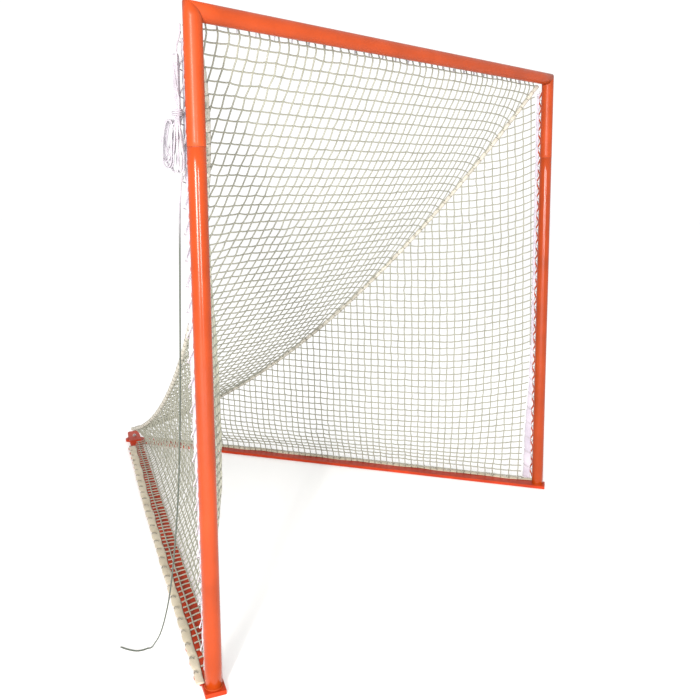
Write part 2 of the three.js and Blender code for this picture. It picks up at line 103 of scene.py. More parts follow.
def tube_mesh(paths, radius, sides):
    """Vertices, faces and uvs of closed tubes. Radius is a number or one value per point."""
    verts, faces, uvs = [], [], []
    angle = np.linspace(0, 2 * math.pi, sides, endpoint=False)
    count = 0
    for path in paths:
        path = np.asarray(path, dtype=float)
        a, b = ring_frames(path)
        n = len(path)
        r = np.broadcast_to(np.asarray(radius, dtype=float), (n,))
        ring = (path[:, None, :]
                + r[:, None, None] * (np.cos(angle)[None, :, None] * a[:, None, :]
                                      + np.sin(angle)[None, :, None] * b[:, None, :]))
        verts.append(ring.reshape(-1, 3))
        length = np.r_[0, np.cumsum(np.linalg.norm(np.diff(path, axis=0), axis=1))]
        uv = np.stack(np.broadcast_arrays(angle[None, :] / (2 * math.pi), length[:, None]), -1)
        uvs.append(uv.reshape(-1, 2))
        i, k = np.meshgrid(np.arange(n - 1), np.arange(sides), indexing="ij")
        k2 = (k + 1) % sides
        quads = np.stack([i * sides + k, i * sides + k2, (i + 1) * sides + k2, (i + 1) * sides + k], -1)
        faces.extend((quads.reshape(-1, 4) + count).tolist())
        faces.append([count + j for j in reversed(range(sides))])
        faces.append([count + (n - 1) * sides + j for j in range(sides)])
        count += n * sides
    return np.concatenate(verts), faces, np.concatenate(uvs)


def tubes(name, paths, radius, sides):
    verts, faces, uvs = tube_mesh(paths, radius, sides)
    return new_object(name, verts, faces, uvs)


def smooth_path(points, step):
    """A centripetal spline through the points, with even steps."""
    p = np.asarray(points, dtype=float)
    p = np.vstack([2 * p[0] - p[1], p, 2 * p[-1] - p[-2]])
    t = np.r_[0, np.cumsum(np.sqrt(np.linalg.norm(np.diff(p, axis=0), axis=1)))]
    out = []
    for i in range(1, len(p) - 2):
        t0, t1, t2, t3 = t[i - 1:i + 3]
        u = np.linspace(t1, t2, 16, endpoint=False)[:, None]
        a1 = (t1 - u) / (t1 - t0) * p[i - 1] + (u - t0) / (t1 - t0) * p[i]
        a2 = (t2 - u) / (t2 - t1) * p[i] + (u - t1) / (t2 - t1) * p[i + 1]
        a3 = (t3 - u) / (t3 - t2) * p[i + 1] + (u - t2) / (t3 - t2) * p[i + 2]
        b1 = (t2 - u) / (t2 - t0) * a1 + (u - t0) / (t2 - t0) * a2
        b2 = (t3 - u) / (t3 - t1) * a2 + (u - t1) / (t3 - t1) * a3
        out.append((t2 - u) / (t2 - t1) * b1 + (u - t1) / (t2 - t1) * b2)
    dense = np.vstack(out + [p[-2:-1]])
    length = np.r_[0, np.cumsum(np.linalg.norm(np.diff(dense, axis=0), axis=1))]
    even = np.linspace(0, length[-1], max(3, int(round(length[-1] / step)) + 1))
    return np.stack([np.interp(even, length, dense[:, k]) for k in range(3)], -1)


def finish_piece(piece, material, slot, *replaced):
    """Gives a piece its material and its body, and hides the solid nodes that it replaces. The slot is not
    used.
    """
    piece.data.materials.append(material)
    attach(piece, "root")
    if replaced:
        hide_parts(*replaced)
    return piece


# Camera: in front of the goal and to its left, looking past the left post into the mouth

LENS = 37.75
LENS_SHIFT = (0.0269, -0.112)
CAMERA_PLACE = (-2.0902, GOAL_Y - 1.5701, 1.4284)
CAMERA_DEGREES = (82.87, 0.55, -46.47)


def add_camera():
    data = bpy.data.cameras.new("camera")
    camera = bpy.data.objects.new("camera", data)
    bpy.context.scene.collection.objects.link(camera)
    data.sensor_width = 36
    data.lens = LENS
    data.shift_x, data.shift_y = LENS_SHIFT
    camera.location = CAMERA_PLACE
    camera.rotation_euler = [math.radians(turn) for turn in CAMERA_DEGREES]
    bpy.context.scene.camera = camera


add_camera()
# The standard transform keeps the studio white and the orange saturated.
bpy.context.scene.view_settings.view_transform = "Standard"


# Materials

def node_material(name):
    material = bpy.data.materials.new(name)
    material.use_nodes = True
    tree = material.node_tree
    return material, tree, tree.nodes["Principled BSDF"]


def add_node(tree, kind, **values):
    """A shader node with its inputs, or else its properties, set by name."""
    node = tree.nodes.new(kind)
    for key, value in values.items():
        if key in node.inputs:
            node.inputs[key].default_value = value
        else:
            setattr(node, key, value)
    return node


def noise(tree, scale, detail=4.0):
    where = tree.nodes.new("ShaderNodeTexCoord")
    texture = add_node(tree, "ShaderNodeTexNoise", Scale=scale, Detail=detail)
    tree.links.new(where.outputs["Object"], texture.inputs["Vector"])
    return texture.outputs["Fac"]


def ramp(tree, factor, stops):
    node = tree.nodes.new("ShaderNodeValToRGB")
    node.color_ramp.elements[0].position = stops[0][0]
    node.color_ramp.elements[0].color = stops[0][1]
    node.color_ramp.elements[1].position = stops[-1][0]
    node.color_ramp.elements[1].color = stops[-1][1]
    for place, colour in stops[1:-1]:
        node.color_ramp.elements.new(place).color = colour
    tree.links.new(factor, node.inputs["Fac"])
    return node.outputs["Color"]


def grey(value):
    return (value, value, value, 1)


def bump(tree, shader, height, strength, distance):
    node = add_node(tree, "ShaderNodeBump", Strength=strength, Distance=distance)
    tree.links.new(height, node.inputs["Height"])
    tree.links.new(node.outputs["Normal"], shader.inputs["Normal"])


def mixed(tree, kind, a, b):
    """A math node on a socket and either another socket or a number."""
    node = tree.nodes.new("ShaderNodeMath")
    node.operation = kind
    tree.links.new(a, node.inputs[0])
    if hasattr(b, "is_linked"):
        tree.links.new(b, node.inputs[1])
    else:
        node.inputs[1].default_value = b
    return node.outputs[0]


def uv_wave(tree, scale_u, scale_v, direction):
    """A stripe pattern in UV space, for twist, braid and weave."""
    where = tree.nodes.new("ShaderNodeTexCoord")
    place = tree.nodes.new("ShaderNodeMapping")
    place.inputs["Scale"].default_value = (scale_u, scale_v, 1)
    tree.links.new(where.outputs["UV"], place.inputs["Vector"])
    wave = add_node(tree, "ShaderNodeTexWave", Scale=1.0)
    wave.bands_direction = direction
    wave.wave_profile = "SIN"
    tree.links.new(place.outputs["Vector"], wave.inputs["Vector"])
    return wave.outputs["Fac"]


def powder_coat(name, dark, base, light, smooth=0.40, rough=0.54, coat=0.1):
    """Painted steel with slow changes of shade and gloss and a fine orange-peel bump."""
    material, tree, shader = node_material(name)
    tree.links.new(ramp(tree, noise(tree, 9.0), [(0.3, dark), (0.55, base), (0.8, light)]),
                   shader.inputs["Base Color"])
    tree.links.new(ramp(tree, noise(tree, 34.0, 6.0), [(0.3, grey(smooth)), (0.75, grey(rough))]),
                   shader.inputs["Roughness"])
    shader.inputs["Specular IOR Level"].default_value = 0.2
    shader.inputs["Coat Weight"].default_value = coat
    shader.inputs["Coat Roughness"].default_value = 0.2
    bump(tree, shader, noise(tree, 420.0, 2.0), 0.06, 0.001)
    return material


def twisted(name, dark, light, turns, lay):
    """Twisted or braided yarn on a tube: stripes that climb round it."""
    material, tree, shader = node_material(name)
    stripes = uv_wave(tree, turns, lay, "DIAGONAL")
    blotch = noise(tree, 26.0, 3.0)
    shade = mixed(tree, "MULTIPLY", stripes, 0.45)
    shade = mixed(tree, "ADD", shade, mixed(tree, "MULTIPLY", blotch, 0.6))
    tree.links.new(ramp(tree, shade, [(0.25, dark), (0.75, light)]), shader.inputs["Base Color"])
    shader.inputs["Roughness"].default_value = 0.85
    shader.inputs["Sheen Weight"].default_value = 0.15
    bump(tree, shader, stripes, 0.5, 0.0006)
    return material


DARKEN_FADE = (0.05, -0.10)  # from the plain colour to the dark one, above and below the height


def darken_below(material, height, dark_colour):
    """Darkens a material below a height."""
    tree = material.node_tree
    shader = tree.nodes["Principled BSDF"]
    plain_colour = shader.inputs["Base Color"].links[0].from_socket
    where = tree.nodes.new("ShaderNodeTexCoord")
    split = tree.nodes.new("ShaderNodeSeparateXYZ")
    tree.links.new(where.outputs["Object"], split.inputs["Vector"])
    share = add_node(tree, "ShaderNodeMapRange")
    share.inputs["From Min"].default_value = height + DARKEN_FADE[0]
    share.inputs["From Max"].default_value = height + DARKEN_FADE[1]
    tree.links.new(split.outputs["Z"], share.inputs["Value"])
    mix = tree.nodes.new("ShaderNodeMixRGB")
    mix.inputs["Color2"].default_value = dark_colour
    tree.links.new(share.outputs["Result"], mix.inputs["Fac"])
    tree.links.new(plain_colour, mix.inputs["Color1"])
    tree.links.new(mix.outputs["Color"], shader.inputs["Base Color"])


THREADS = 420.0  # of the tapes' weave, in a unit of UV


def woven(name, dark, light):
    """Plain weave tape: crossing threads in UV space."""
    material, tree, shader = node_material(name)
    warp = uv_wave(tree, THREADS, 1.0, "X")
    weft = uv_wave(tree, 1.0, THREADS, "Y")
    weave = mixed(tree, "MULTIPLY", warp, weft)
    shade = mixed(tree, "MULTIPLY", weave, 0.35)
    shade = mixed(tree, "ADD", shade, mixed(tree, "MULTIPLY", noise(tree, 14.0), 0.7))
    tree.links.new(ramp(tree, shade, [(0.25, dark), (0.8, light)]), shader.inputs["Base Color"])
    shader.inputs["Roughness"].default_value = 0.9
    shader.inputs["Sheen Weight"].default_value = 0.2
    bump(tree, shader, weave, 0.4, 0.0005)
    return material


def shadow_line(name, colour):
    material, _, shader = node_material(name)
    shader.inputs["Base Color"].default_value = colour
    return material


orange = powder_coat("orange_powder_coat", (0.28, 0.034, 0.003, 1), (0.32, 0.039, 0.004, 1),
                     (0.36, 0.046, 0.006, 1))
orange_gloss = powder_coat("orange_powder_coat_gloss", (0.24, 0.028, 0.002, 1), (0.28, 0.033, 0.003, 1),
                           (0.32, 0.039, 0.004, 1), smooth=0.18, rough=0.24, coat=0.2)
orange_base = powder_coat("orange_base_coat", (0.31, 0.021, 0.002, 1), (0.35, 0.026, 0.003, 1),
                          (0.48, 0.037, 0.005, 1), coat=0.0)
twine = twisted("net_twine", (0.16, 0.16, 0.115, 1), (0.33, 0.325, 0.265, 1), 2.0, 700.0)
white_tape = woven("white_tape", (0.36, 0.32, 0.39, 1), (0.60, 0.56, 0.61, 1))
cream_tape = woven("cream_tape", (0.36, 0.31, 0.22, 1), (0.62, 0.55, 0.43, 1))
beige_rope = twisted("seam_rope", (0.20, 0.18, 0.14, 1), (0.56, 0.53, 0.46, 1), 3.0, 260.0)
grey_cord = twisted("lacing_cord", (0.10, 0.09, 0.07, 1), (0.26, 0.24, 0.19, 1), 4.0, 600.0)
white_cord = twisted("lacing_cord_white", (0.28, 0.26, 0.28, 1), (0.56, 0.52, 0.56, 1), 4.0, 600.0)
draw_cord = twisted("drawcord", (0.13, 0.12, 0.14, 1), (0.50, 0.46, 0.51, 1), 4.0, 600.0)
# The drawcord's colour is darkened to near black below 1.35 m.
darken_below(draw_cord, 1.35, (0.05, 0.06, 0.045, 1))
dark_line = shadow_line("joint_shadow", (0.10, 0.015, 0.006, 1))


# Members: a start on the axis, the way along, out to the rod, and the face that the tape lies on

def member(start, along, out, face):
    return tuple(np.array(v, dtype=float) for v in (start, along, out, face))


def at(place, along, out, face=0.0):
    """Points at distances along, out and to the face of a member, as numbers or arrays."""
    start, a, o, f = place
    along, out, face = np.broadcast_arrays(*(np.asarray(v, dtype=float) for v in (along, out, face)))
    return start + along[..., None] * a + out[..., None] * o + face[..., None] * f


def base_member(side):
    """A base bar, from under the post to the apex, with its rod outwards and its tape on top."""
    along = (-side * math.sin(BAR_TURN), math.cos(BAR_TURN), 0)
    return member((side * POST_X, GOAL_Y, 0), along, (side * along[1], -side * along[0], 0), (0, 0, 1))


def post_member(side):
    """A post, from the ground up, with its rod to the back and its tape on the inner side."""
    return member((side * POST_X, GOAL_Y, 0), (0, 0, 1), (0, 1, 0), (-side, 0, 0))


TILT = math.radians(5)  # of the crossbar's rod below level
crossbar_member = member((0, GOAL_Y, CROSSBAR_Z), (1, 0, 0), (0, math.cos(TILT), -math.sin(TILT)),
                         (0, -math.sin(TILT), -math.cos(TILT)))


# Drawcord: a lead, a tied hank and a tail. The tail follows the solid model's route.

CORD_EXIT = (-0.954, GOAL_Y + 0.035, 1.826)
CORD_STEP = 0.004
CORD_SIDES = 8
FLOOR_Z = DRAWCORD_D / 2 + 0.0002  # the cord's axis where it lies on the ground
HANK = Vector((-0.963, GOAL_Y + 0.046, 0))
LEAN = Vector((-0.6, 0.8, 0))
ACROSS = Vector((0.8, 0.6, 0))
LONG_TURNS = ((-6, 1.447, -2), (-3, 1.452, 12), (0, 1.449, 6), (3, 1.462, 16))  # q, lowest z, spread
SHORT_TURNS = ((-7, 1.462, 26), (-2, 1.478, 30), (3, 1.470, 24), (7, 1.490, 20))  # p, lowest z, q
TIE_TURNS = 3.3
TIE_TOP = 1.612
TIE_WIDE = 12.5  # half widths of the tie, in millimetres along the hank and across it
TIE_DEEP = 14
TIE_PITCH = 0.0049
TAIL = (
    (-0.961, 0.050, 1.380), (-0.962, 0.063, 1.150), (-0.962, 0.078, 0.885), (-0.962, 0.102, 0.598),
    (-0.962, 0.143, 0.344), (-0.962, 0.182, 0.190), (-0.962, 0.228, 0.080), (-0.962, 0.262, 0.032),
    (-0.961, 0.286, FLOOR_Z + 0.003), (-0.966, 0.294, FLOOR_Z), (-0.980, 0.298, FLOOR_Z),
    (-0.996, 0.308, FLOOR_Z), (-1.010, 0.332, FLOOR_Z), (-1.0205, 0.3625, FLOOR_Z),
)


def hank_point(q, p, z):
    """A point q along the hank's width, p across it and z up, the first two in millimetres."""
    v = HANK + LEAN * (q / 1000) + ACROSS * (p / 1000)
    return (v.x, v.y, z)


def long_loop(q, low, spread):
    """One turn of the hank: down the far side, round at the bottom, up the near side and over."""
    return [
        hank_point(q, -8.5, 1.735), hank_point(q, -8.5, 1.68), hank_point(q, -7.5, 1.63),
        hank_point(q, -7, 1.59), hank_point(q + spread * 0.4 - 2, -7.5, 1.54),
        hank_point(q + spread - 8, -8, low + 0.035), hank_point(q + spread - 6, -7, low + 0.013),
        hank_point(q + spread, -3, low + 0.003), hank_point(q + spread + 8, 3, low + 0.003),
        hank_point(q + spread + 14, 7, low + 0.013), hank_point(q + spread + 16, 8, low + 0.035),
        hank_point(q + spread * 0.5 + 8, 7.5, 1.54), hank_point(q + 1, 7, 1.59),
        hank_point(q + 1, 7.5, 1.63), hank_point(q + 1, 8.5, 1.68), hank_point(q + 1, 8.5, 1.738),
        hank_point(q + 1, 6, 1.7475), hank_point(q + 1.5, 0, 1.7505), hank_point(q + 2, -6, 1.7475),
    ]


def short_loop(p, low, q):
    """A smaller turn that hangs beside the long ones, below the tie."""
    return [
        hank_point(q - 14, p, 1.570), hank_point(q - 11, p, 1.545), hank_point(q - 9, p, low + 0.030),
        hank_point(q - 5.5, p, low + 0.010), hank_point(q + 3, p, low + 0.002),
        hank_point(q + 11.5, p, low + 0.010), hank_point(q + 15, p, low + 0.030),
        hank_point(q + 12, p, 1.545), hank_point(q + 4, p, 1.577), hank_point(q - 4, p + 1, 1.586),
        hank_point(q - 11, p + 1.8, 1.580),
    ]


def tie_wraps():
    """Turns round the neck of the hank, a little over one cord's width lower each time."""
    steps = 12
    points = []
    for i in range(int(TIE_TURNS * steps) + 1):
        angle = math.pi * 1.25 - 2 * math.pi * i / steps
        q = TIE_WIDE * math.cos(angle)
        p = TIE_DEEP * math.sin(angle)
        points.append(hank_point(q, p, TIE_TOP - TIE_PITCH * i / steps))
    return points


def drawcord_route():
    points = [CORD_EXIT, (-0.955, GOAL_Y + 0.037, 1.800), hank_point(-6, -8, 1.765)]
    for q, low, spread in LONG_TURNS:
        points += long_loop(q, low, spread)
    points += [hank_point(3, -10, 1.72), hank_point(-3, -11.5, 1.67), hank_point(-9, -10, 1.635)]
    points += tie_wraps()
    for p, low, q in SHORT_TURNS:
        points += short_loop(p, low, q)
    points += [
        hank_point(-2, 10, 1.565), hank_point(-8, 9, 1.54), hank_point(-9, 7, 1.50), hank_point(-5, 4, 1.45),
    ]
    points += [(x, y + GOAL_Y, z) for x, y, z in TAIL]
    return points


def drawcord():
    path = smooth_path(drawcord_route(), CORD_STEP)
    path[:, 2] = np.maximum(path[:, 2], FLOOR_Z)
    piece = tubes("drawcord", [path], DRAWCORD_D / 2, CORD_SIDES)
    finish_piece(piece, draw_cord, "drawcord", "drawcord_lead", "drawcord_hank", "drawcord_tail")


drawcord()


# Frame tubes, finer than the solid model's and on the same places

TUBE_SIDES = 96
TUBE_ROWS = 24
TUBE_END_BEVEL = 0.0004


def tube_profile(start, end):
    """The tube's wall as (along, radius) points of a closed loop."""
    inner = TUBE_R - TUBE_WALL
    bevel = TUBE_END_BEVEL
    profile = [(start, inner), (start, TUBE_R - bevel), (start + bevel, TUBE_R)]
    profile += [(start + (end - start) * i / TUBE_ROWS, TUBE_R) for i in range(1, TUBE_ROWS)]
    return profile + [(end - bevel, TUBE_R), (end, TUBE_R - bevel), (end, inner)]


def frame_tube(name, place, start, end, slopes, material, slot, replaced):
    """A tube along a member from start to end; slopes shear each end into a mitre along `out`."""
    profile = tube_profile(start, end)
    sides = TUBE_SIDES
    angle = np.linspace(0, 2 * math.pi, sides, endpoint=False)
    verts, uvs = [], []
    for along, radius in profile:
        share = (along - start) / (end - start)
        slope = slopes[0] if share < 0.02 else slopes[1] if share > 0.98 else 0
        x, y = radius * np.cos(angle), radius * np.sin(angle)
        verts.append(at(place, along + slope * x, x, y))
        uvs.append(np.stack([angle / (2 * math.pi), np.full(sides, along)], -1))
    n = len(profile)
    faces = []
    for i in range(n):
        for k in range(sides):
            a, b = i * sides + k, i * sides + (k + 1) % sides
            c, d = ((i + 1) % n) * sides + (k + 1) % sides, ((i + 1) % n) * sides + k
            faces.append((a, b, c, d))
    piece = new_object(name, np.concatenate(verts), faces, np.concatenate(uvs))
    outward(piece)
    return finish_piece(piece, material, slot, replaced)


def outward(piece):
    """Recalculates the normals of a closed mesh so that they point out."""
    work = bmesh.new()
    work.from_mesh(piece.data)
    bmesh.ops.recalc_face_normals(work, faces=work.faces)
    work.to_mesh(piece.data)
    work.free()


def bevelled(name, source, material, slot, width):
    """A CAD node's own shape with softened edges."""
    piece = bpy.data.objects.new(name, nodes[source].data.copy())
    piece.data.materials.clear()
    bpy.context.scene.collection.objects.link(piece)
    weld = piece.modifiers.new("weld", "WELD")
    weld.merge_threshold = 0.00002
    bevel = piece.modifiers.new("bevel", "BEVEL")
    bevel.width = width
    bevel.segments = 3
    bevel.limit_method = "ANGLE"
    bevel.angle_limit = math.radians(30)
    bevel.harden_normals = True
    return finish_piece(piece, material, slot, source)


BEAD_R = 0.0015
BEAD_RIPPLES = 40


def weld_bead(name, place, along, radius, material, slot):
    """A rippled ring where a tube meets flat bar."""
    turns = np.linspace(0, 2 * math.pi, 121)
    out = radius * np.cos(turns)
    face = radius * np.sin(turns)
    path = at(place, along + 0.0003 * np.sin(turns * BEAD_RIPPLES), out, face)
    piece = tubes(name, [path], BEAD_R + 0.0002 * np.sin(turns * BEAD_RIPPLES), 8)
    return finish_piece(piece, material, slot)


GROOVE_R = 0.0014
GROOVE_DEEP = 0.0019  # from the tube's surface to the axis of the dark line
GROOVE_Z = SPLIT_Z + 0.0004


def joint_groove(label, place):
    """The dark line where the upper leg sits on the post."""
    turns = np.linspace(0, 2 * math.pi, 97)
    radius = TUBE_R - GROOVE_DEEP
    path = at(place, GROOVE_Z, radius * np.cos(turns), radius * np.sin(turns))
    piece = tubes(f"{label}_joint_groove", [path], GROOVE_R, 6)
    return finish_piece(piece, dark_line, "orange_powder_coat")


for label, side in SIDES:
    post_place = member((side * POST_X, GOAL_Y, 0), (0, 0, 1), (side, 0, 0), (0, 1, 0))
    frame_tube(f"{label}_post_tube", post_place, post_low.z, SPLIT_Z, (0, 0), orange_gloss,
               "orange_powder_coat", f"{label}_post")
    frame_tube(f"{label}_leg_tube", post_place, SPLIT_Z + 0.0009, CROSSBAR_Z - 0.0003, (0, 1), orange,
               "orange_powder_coat", f"{label}_upper_leg")
    joint_groove(label, post_place)
    weld_bead(f"{label}_foot_weld", post_place, BAR_THICK + 0.0012, TUBE_R, orange, "orange_powder_coat")
    bevelled(f"{label}_bar", f"{label}_base_bar", orange_base, "orange_base_coat", 0.0012)

crossbar_place = member((0, GOAL_Y, CROSSBAR_Z), (1, 0, 0), (0, 0, 1), (0, 1, 0))
frame_tube("crossbar", crossbar_place, -POST_X, POST_X, (-1, 1), orange, "orange_powder_coat",
           "crossbar_tube")


# Lacing rods: a wave that touches the member at its troughs

POST_WAVES = 21
LEG_WAVES = 4
CROSSBAR_WAVES = 25
BASE_WAVES = 29
POST_ROD_FROM = 0.040
LEG_ROD_FROM = 1.520
BASE_ROD_FROM = 0.020
ROD_CREST = 0.040
BASE_ROD_CREST = 0.044
BASE_ROD_Z = 0.008
WAVE_STEPS = 14
HALF_CROSSBAR = CROSSBAR_WAVES * PITCH / 2  # of the crossbar's rod


def lacing_rod(name, place, start, waves, half, crest, face, material, slot):
    """A wavy rod from `start` along a member that is `half` wide from its axis, out to `crest`."""
    trough = half + ROD_R - 0.0003
    phase = np.linspace(0, 2 * math.pi * waves, waves * WAVE_STEPS + 1)
    along = start + PITCH * phase / (2 * math.pi)
    out = trough + (crest - trough) * (1 - np.cos(phase)) / 2
    piece = tubes(name + "_wave", [at(place, along, out, face)], ROD_R, 12)
    return finish_piece(piece, material, slot, name)


for label, side in SIDES:
    lacing_rod(f"{label}_post_rod", post_member(side), POST_ROD_FROM, POST_WAVES, TUBE_R, ROD_CREST, 0,
               orange, "orange_powder_coat")
    lacing_rod(f"{label}_leg_rod", post_member(side), LEG_ROD_FROM, LEG_WAVES, TUBE_R, ROD_CREST, 0,
               orange, "orange_powder_coat")
    lacing_rod(f"{label}_base_rod", base_member(side), BASE_ROD_FROM, BASE_WAVES, BAR_WIDTH / 2,
               BASE_ROD_CREST, BASE_ROD_Z, orange_base, "orange_base_coat")
lacing_rod("crossbar_rod", crossbar_member, -HALF_CROSSBAR, CROSSBAR_WAVES, TUBE_R, ROD_CREST, 0,
           orange, "orange_powder_coat")


# Hem tapes, pinched at each turn of the lacing

TAPE_THICK = 0.0016
TAPE_STEP = 0.005
TAPE_POINTS_ACROSS = 11
TAPE_UV_WIDTH = 0.03
PINCH_REACH = 0.009
TURN_OVER = 0.020  # from a crest to the middle of the turn round the tape's outer edge
SLOT = 0.0335  # the lacing's place through the base hem


def crests(start, waves):
    """Places of a rod's crests along its member."""
    return start + PITCH * (np.arange(waves) + 0.5)


def pinch(along, turns):
    """1 at a lacing turn, 0 half-way between two turns."""
    nearest = np.min(np.abs(along[:, None] - turns[None, :]), axis=1)
    return np.exp(-(nearest / PINCH_REACH) ** 2)


def tape_strip(name, place, start, end, inner, outer, face, turns, pull, puff, material, slot):
    """A strip of folded tape whose outer edge is pulled in by `pull` and whose middle puffs by `puff`."""
    along = np.arange(start, end, TAPE_STEP)
    squeeze = pinch(along, turns)
    # Slow waves of about a millimetre keep the edges and the face from looking ruled.
    inside = inner(along) + 0.0015 * np.sin(along * 37)
    outside = outer(along) - pull * squeeze + 0.001 * np.sin(along * 61)
    share = np.linspace(0, 1, TAPE_POINTS_ACROSS)
    swell = puff * (1 - squeeze)[:, None] * np.sin(math.pi * share)[None, :] ** 0.7
    wave = 0.0012 * np.sin(along * 23 + 1.0)[:, None]
    out = inside[:, None] + (outside - inside)[:, None] * share[None, :]
    top = at(place, along[:, None], out, face + wave + TAPE_THICK / 2 + swell)
    low = at(place, along[:, None], out, face + wave - TAPE_THICK / 2 - 0.35 * swell)
    n = len(along)
    loop = np.concatenate([top, low[:, ::-1]], axis=1)
    width = loop.shape[1]
    verts = loop.reshape(-1, 3)
    girth = np.concatenate([share, 2 - share[::-1]]) * TAPE_UV_WIDTH
    uvs = np.stack(np.broadcast_arrays(girth[None, :], along[:, None]), -1).reshape(-1, 2)
    faces = []
    for i in range(n - 1):
        for k in range(width):
            k2 = (k + 1) % width
            faces.append((i * width + k, i * width + k2, (i + 1) * width + k2, (i + 1) * width + k))
    faces.append(tuple(range(width)))
    faces.append(tuple(reversed(range((n - 1) * width, n * width))))
    piece = new_object(name + "_strip", verts, faces, uvs)
    outward(piece)
    return finish_piece(piece, material, slot, name)


def edge(stations):
    """A tape edge through (along, out) stations."""
    return lambda along: np.interp(along, *zip(*stations))


def level(value):
    """A tape edge at one distance all along."""
    return edge(((0, value), (1, value)))


# Edges of the tapes, as places along the member and distances out from its axis
POST_TAPE_INNER = level(0.036)
POST_TAPE_OUTER = {
    -1: edge(((0.030, 0.052), (0.400, 0.055), (0.950, 0.067), (1.500, 0.061), (1.800, 0.059))),
    1: edge(((0.030, 0.072), (0.250, 0.068), (0.500, 0.052), (0.700, 0.048), (1.800, 0.048))),
}
BASE_TAPE_INNER = edge(((0.015, 0.022), (0.240, 0.020), (0.700, 0.022), (1.400, 0.019), (1.593, 0.013),
                        (1.951, 0.008), (2.040, 0.006)))
BASE_TAPE_OUTER = edge(((0.015, 0.046), (0.106, 0.046), (0.240, 0.048), (0.700, 0.052), (1.200, 0.054),
                        (1.593, 0.051), (1.745, 0.046), (2.040, 0.043)))
CROSSBAR_TAPE_INNER = level(0.037)
CROSSBAR_TAPE_OUTER = level(0.060)
POST_TAPE_SPAN = (0.030, 1.800)
BASE_TAPE_SPAN = (0.015, 2.040)
TUBE_TAPE_FACE = 0.0046  # from the tube's axis to the middle of the tape
BASE_TAPE_FACE = 0.0145

post_turns = np.concatenate([crests(POST_ROD_FROM, POST_WAVES), crests(LEG_ROD_FROM, LEG_WAVES)])
crossbar_turns = crests(-HALF_CROSSBAR, CROSSBAR_WAVES)
base_turns = crests(BASE_ROD_FROM, BASE_WAVES)
for label, side in SIDES:
    tape_strip(f"{label}_post_tape", post_member(side), *POST_TAPE_SPAN, POST_TAPE_INNER,
               POST_TAPE_OUTER[side], TUBE_TAPE_FACE, post_turns + TURN_OVER, pull=0.003,
               puff=0.0012, material=white_tape, slot="white_tape")
    tape_strip(f"{label}_base_tape", base_member(side), *BASE_TAPE_SPAN, BASE_TAPE_INNER,
               BASE_TAPE_OUTER, BASE_TAPE_FACE, base_turns + TURN_OVER, pull=0.008, puff=0.0025,
               material=cream_tape, slot="cream_tape")
tape_strip("crossbar_tape", crossbar_member, -HALF_CROSSBAR, HALF_CROSSBAR, CROSSBAR_TAPE_INNER,
           CROSSBAR_TAPE_OUTER, TUBE_TAPE_FACE, crossbar_turns + TURN_OVER, pull=0.004, puff=0.001,
           material=white_tape, slot="white_tape")


# Lacing: one turn at each crest, through the window under it and round the tape

TUBE_WINDOW = 0.031  # the lacing's place between a tube and its rod
TUBE_LACING_FACES = (-0.006, 0.0088)  # of the cord's axis under the tape and over it
BASE_LACING_FACES = (0.0024, 0.0182)
CROSSBAR_HANG = 0.012  # of the turns below the crossbar's tape


def lacing(name, place, turns, inner, outer, pull, under, over, cord, hang=0.0):
    """The cord's route from its window at `inner` round the tape's edge at `outer` less `pull`."""
    points = []
    for crest in turns:
        far = outer(crest + TURN_OVER) - pull + 0.0015
        for along, out, face in (
            (crest - 0.004, inner, under), (crest + 0.001, inner - 0.0005, (under + over) / 2),
            (crest + 0.005, inner, over), (crest + 0.011, (inner + far) / 2, over + 0.0008),
            (crest + 0.017, far - 0.002, over + hang), (crest + 0.020, far, (under + over) / 2 + hang),
            (crest + 0.023, far - 0.002, under), (crest + 0.044, (inner + far) / 2, under),
        ):
            points.append(at(place, along, out, face))
    path = smooth_path(points, CORD_STEP)
    piece = tubes(name + "_cord", [path], LACING_D / 2 - 0.0003, CORD_SIDES)
    return finish_piece(piece, cord, "lacing_cord", name)


for label, side in SIDES:
    lacing(f"{label}_post_lacing", post_member(side), post_turns, TUBE_WINDOW, POST_TAPE_OUTER[side], 0.003,
           *TUBE_LACING_FACES, white_cord)
    lacing(f"{label}_base_lacing", base_member(side), base_turns, SLOT, BASE_TAPE_OUTER, 0.005,
           *BASE_LACING_FACES, grey_cord)
lacing("crossbar_lacing", crossbar_member, crossbar_turns[:-1], TUBE_WINDOW, CROSSBAR_TAPE_OUTER, 0.003,
       *TUBE_LACING_FACES, white_cord, CROSSBAR_HANG)


# Net. Its two seams hang from the top corners to the apex and are drawn inward.

SEAM_START = (0.040, 1.839)  # back from the goal line, and up
SEAM_END = (1.975, 0.060)
SEAM_SAG = 0.300
SEAM_IN = 0.127
SEAM_SAG_POWER = 0.956
SEAM_IN_POWER = 0.591
TOP_CELL = 0.0375
SIDE_CELL = 0.0320
NET_SLACK = 0.0013
KNOT_R = 0.0033
TWINE_SIDES = 5
EDGE_FADE = 0.03  # from a panel's edge to where its slack is whole
ROW_BEND = 0.035  # how far a row of the top panel bends down beside a seam
TOP_SAG = 0.012  # of a row between its seams
STUB = 0.022  # of each column above the first row, up to the crossbar's tape
TIP = 0.09  # of the top panel, left to the two ropes where they meet


def arch(s, power):
    """0 at both ends and 1 between, off the middle where the power isn't 1."""
    p = np.clip(s, 0, 1) ** power
    return 4 * p * (1 - p)


def inward(side):
    """Across the base bar, level, into the goal."""
    return np.array((-side * math.cos(BAR_TURN), -math.sin(BAR_TURN), 0.0))


